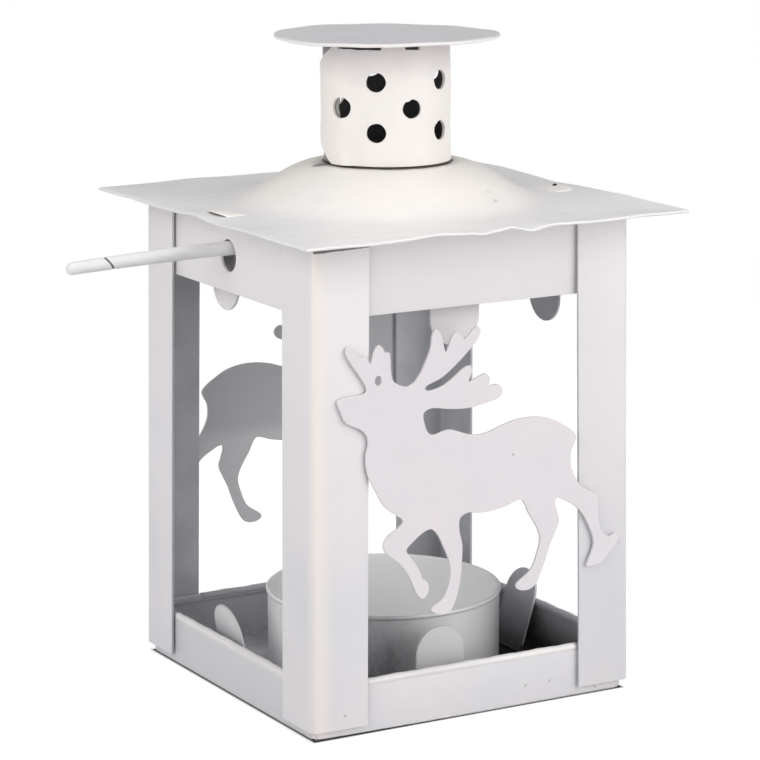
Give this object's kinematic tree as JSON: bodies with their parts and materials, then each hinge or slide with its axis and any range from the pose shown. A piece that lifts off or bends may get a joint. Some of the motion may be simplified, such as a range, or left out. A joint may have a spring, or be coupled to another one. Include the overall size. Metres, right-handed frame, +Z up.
{
  "type": "tealight lantern",
  "caption": "Square painted-metal tealight lantern with a tray, corner posts, reindeer silhouettes, a domed roof with a vented chimney, a tealight cup and a turning handle rod.",
  "frame": {"origin": "on the ground, at the middle of the flat underside of the tray", "axes": "+Z up, +X along the handle rod towards the right when the front reindeer is faced, -Y out of the front, reindeer face"},
  "size_m": [0.1135, 0.0758, 0.111],
  "materials": {
    "body_enamel": "satin white enamel",
    "roof_enamel": "satin white enamel",
    "reindeer_enamel": "satin white enamel",
    "cup_enamel": "satin light grey enamel",
    "rod_enamel": "satin white enamel"
  },
  "bodies": {
    "root": {"base_tray": "body_enamel", "top_frame": "body_enamel", "post_front_left": "body_enamel", "post_front_right": "body_enamel", "post_back_right": "body_enamel", "post_back_left": "body_enamel", "roof_plate": "roof_enamel", "chimney_tube": "roof_enamel", "chimney_cap": "roof_enamel", "reindeer_front": "reindeer_enamel", "reindeer_back": "reindeer_enamel", "tealight_cup": "cup_enamel"},
    "handle_rod": {"handle_rod": "rod_enamel"}
  },
  "joints": [
    {"name": "rod_turn", "type": "hinge", "parent": "root", "child": "handle_rod", "pos_m": [0, 0.0005, 0.0766], "axis": [1, 0, 0], "continuous": true}
  ]
}
